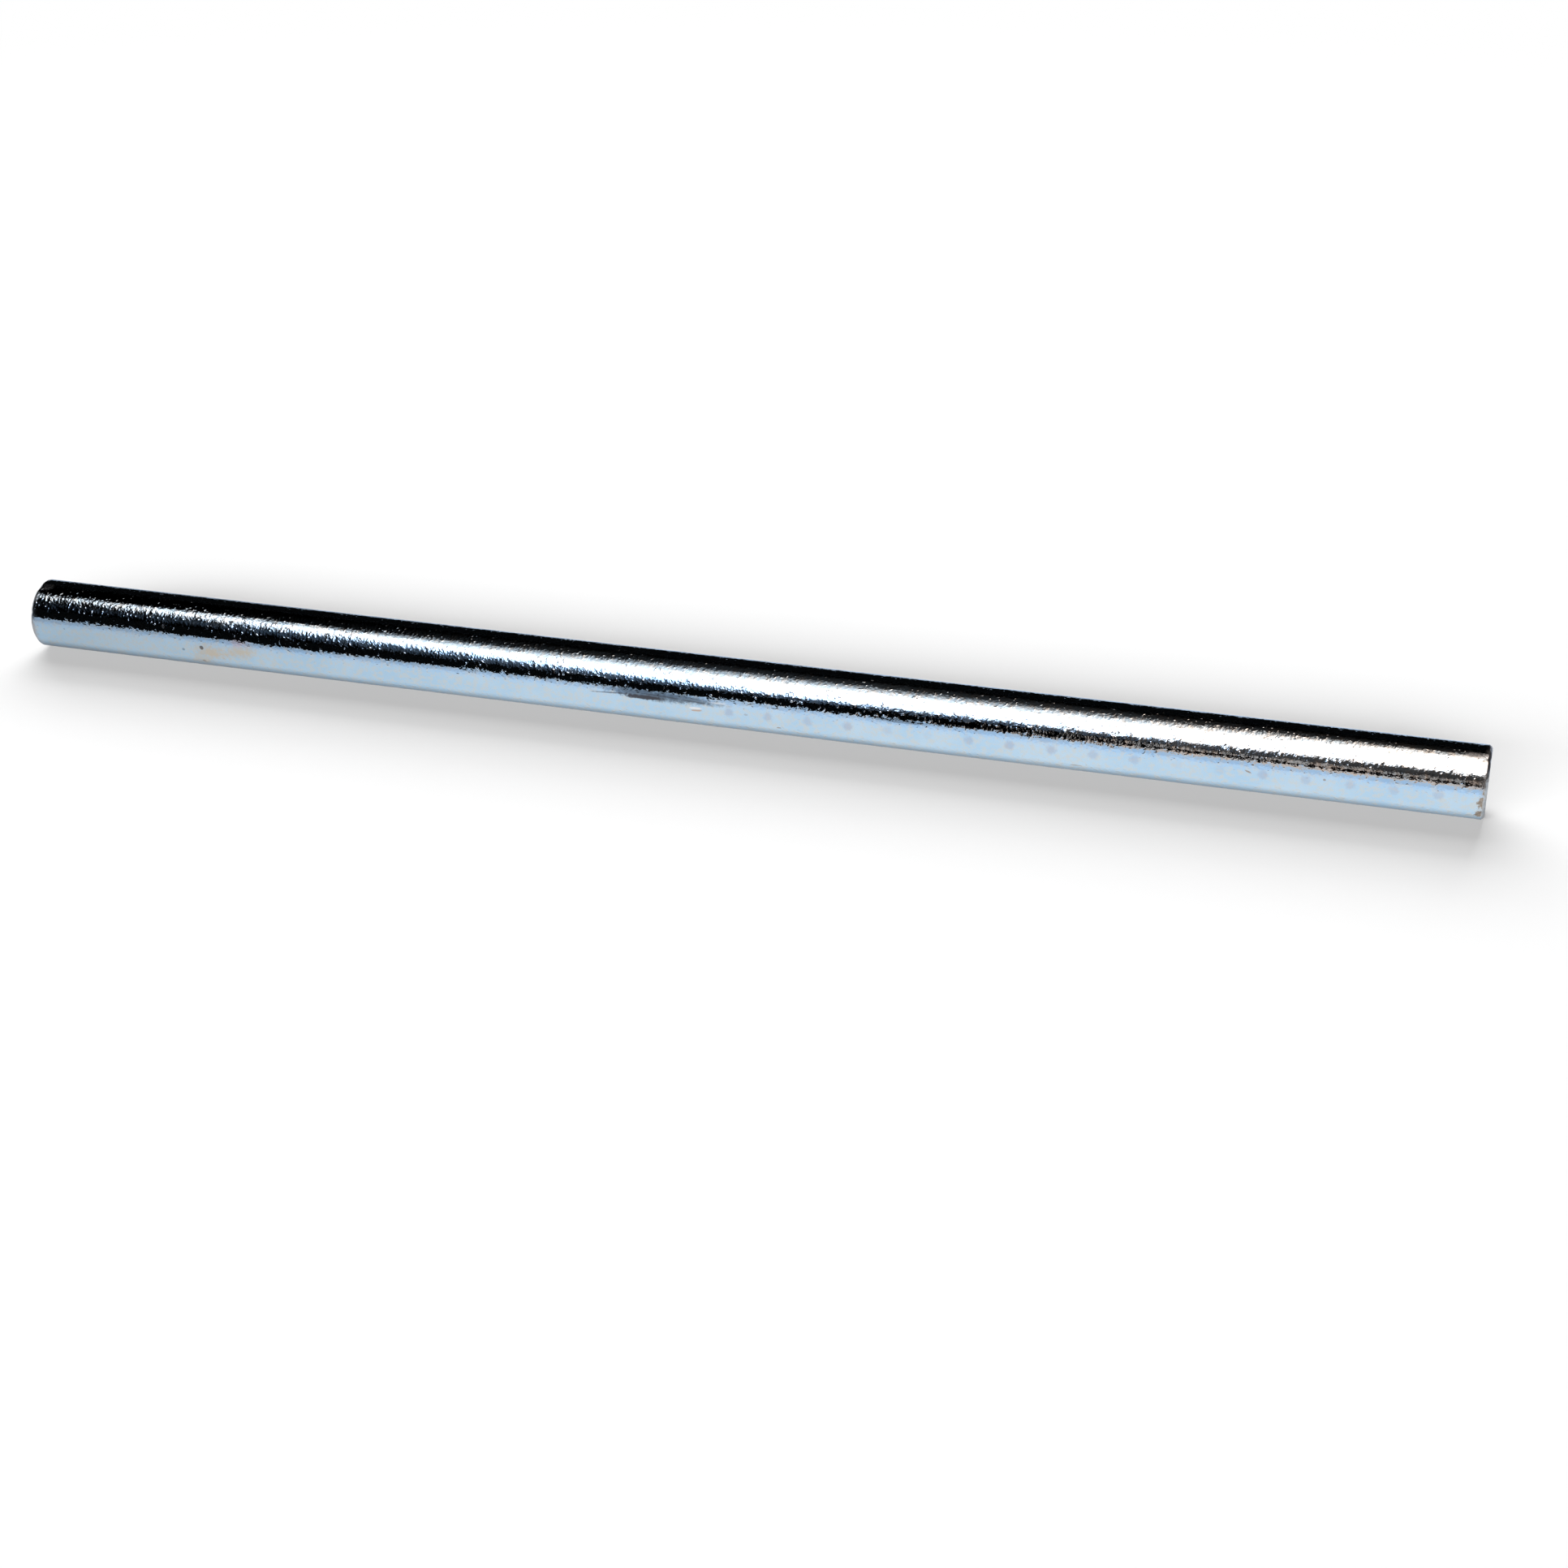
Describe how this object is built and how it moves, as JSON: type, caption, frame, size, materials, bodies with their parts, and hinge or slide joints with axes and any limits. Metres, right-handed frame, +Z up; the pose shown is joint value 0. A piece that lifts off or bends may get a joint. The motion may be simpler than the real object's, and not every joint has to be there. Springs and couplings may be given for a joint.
{
  "type": "roller shaft",
  "caption": "Plain round zinc-plated steel bar with bevelled ends, on which a trailer's keel roller turns.",
  "frame": {"origin": "on the bar's axis, halfway along it", "axes": "+X along the bar, from its left end to its right end; +Z up, with the bar lying level"},
  "size_m": [0.3366, 0.0158, 0.0158],
  "materials": {
    "zinc_plated_steel": "satin"
  },
  "bodies": {
    "root": {"shaft": "zinc_plated_steel"}
  },
  "joints": []
}
